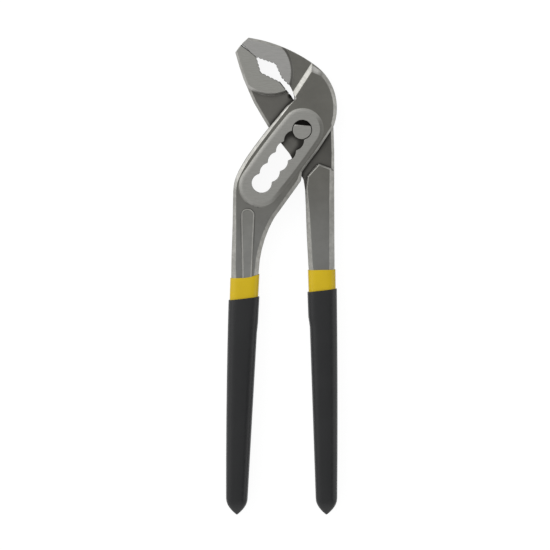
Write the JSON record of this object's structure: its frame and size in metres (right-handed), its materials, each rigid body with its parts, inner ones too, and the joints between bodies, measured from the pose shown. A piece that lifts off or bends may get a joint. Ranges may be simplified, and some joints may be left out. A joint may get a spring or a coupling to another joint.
{
  "type": "water pump pliers",
  "caption": "Adjustable box-joint water pump pliers: angled serrated jaws, notched slot with a flatted pivot pin, and dipped handles with a yellow undercoat showing above black grips.",
  "frame": {"origin": "under the middle of the part, on the surface it lies on", "axes": "X across the handles, from the slotted lever's handle to the pinned lever's; Y from the handle ends to the jaws; Z through the thickness, up from the surface"},
  "size_m": [0.0584, 0.25, 0.012],
  "materials": {
    "slotted_steel": "satin",
    "pinned_steel": "satin",
    "pin_steel": "ground",
    "yellow_dip": "satin",
    "black_dip": "matte"
  },
  "bodies": {
    "slotted_side": {"slotted_lever": "slotted_steel", "left_grip_undercoat": "yellow_dip", "left_grip": "black_dip"},
    "pinned_side": {"pinned_lever": "pinned_steel", "pivot_pin": "pin_steel", "right_grip_undercoat": "yellow_dip", "right_grip": "black_dip"}
  },
  "joints": [
    {"name": "jaw_pivot", "type": "hinge", "parent": "slotted_side", "child": "pinned_side", "pos_m": [0.01065, 0.077, 0.006], "axis": [0, 0, 1], "range_deg": [0, 60]}
  ]
}
